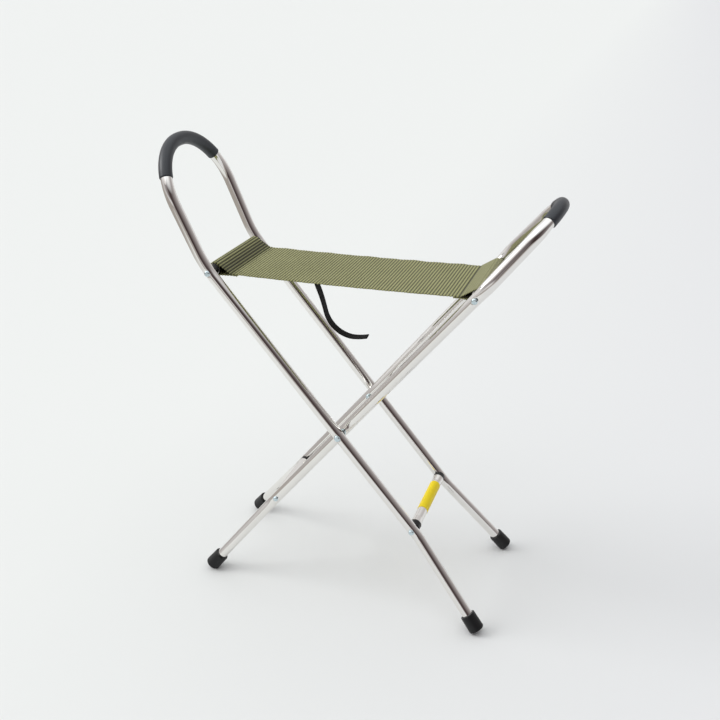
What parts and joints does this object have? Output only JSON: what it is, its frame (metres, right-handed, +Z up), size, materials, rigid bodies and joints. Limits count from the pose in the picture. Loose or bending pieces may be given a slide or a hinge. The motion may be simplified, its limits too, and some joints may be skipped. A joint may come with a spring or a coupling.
{
  "type": "folding stick seat",
  "caption": "Folding walking stick seat: two crossed aluminium tube frames with grey grips, rubber feet and an olive cloth seat.",
  "frame": {"origin": "on the floor, under the middle of the whole seat", "axes": "+X from the tall loop to the short loop, +Y from the front legs to the rear legs, +Z up"},
  "size_m": [0.558, 0.2404, 0.6757],
  "materials": {
    "polished_aluminium": "polished and lacquered tube",
    "zinc_steel": "bright zinc plate",
    "plain_steel": "plain stamped steel",
    "grey_vinyl": "dipped vinyl, satin",
    "black_rubber": "moulded, slightly shiny",
    "black_plastic": "moulded",
    "yellow_film": "plain, unprinted",
    "olive_cloth": "ribbed woven polyester",
    "black_webbing": "plain woven"
  },
  "bodies": {
    "outer": {"blank_yellow_band": "yellow_film", "closure_strap": "black_webbing", "outer_cross_cap_front": "black_plastic", "outer_cross_cap_rear": "black_plastic", "outer_cross_screw_front": "zinc_steel", "outer_cross_screw_rear": "zinc_steel", "outer_cross_tube": "polished_aluminium", "outer_foot_disc_front": "plain_steel", "outer_foot_disc_rear": "plain_steel", "outer_foot_front": "black_rubber", "outer_foot_rear": "black_rubber", "outer_frame_tube": "polished_aluminium", "outer_grip": "grey_vinyl", "outer_seat_cap_front": "black_plastic", "outer_seat_cap_rear": "black_plastic", "outer_seat_rod": "polished_aluminium", "outer_seat_screw_front": "zinc_steel", "outer_seat_screw_rear": "zinc_steel", "outer_seat_sleeve": "olive_cloth", "pivot_bolt_front": "zinc_steel", "pivot_bolt_rear": "zinc_steel", "pivot_nut_front": "zinc_steel", "pivot_nut_rear": "zinc_steel", "pivot_washer_front": "zinc_steel", "pivot_washer_rear": "zinc_steel", "seat_panel": "olive_cloth", "strap_patch": "olive_cloth"},
    "inner": {"inner_cross_cap_front": "black_plastic", "inner_cross_cap_rear": "black_plastic", "inner_cross_screw_front": "zinc_steel", "inner_cross_screw_rear": "zinc_steel", "inner_cross_tube": "polished_aluminium", "inner_foot_disc_front": "plain_steel", "inner_foot_disc_rear": "plain_steel", "inner_foot_front": "black_rubber", "inner_foot_rear": "black_rubber", "inner_frame_tube": "polished_aluminium", "inner_grip": "grey_vinyl", "inner_seat_cap_front": "black_plastic", "inner_seat_cap_rear": "black_plastic", "inner_seat_rod": "polished_aluminium", "inner_seat_screw_front": "zinc_steel", "inner_seat_screw_rear": "zinc_steel", "inner_seat_sleeve": "olive_cloth"}
  },
  "joints": [
    {"name": "fold", "type": "hinge", "parent": "outer", "child": "inner", "pos_m": [-0.00685, 0, 0.27297], "axis": [0, -1, 0], "range_deg": [0, 72], "deforming": ["seat_panel"]}
  ]
}
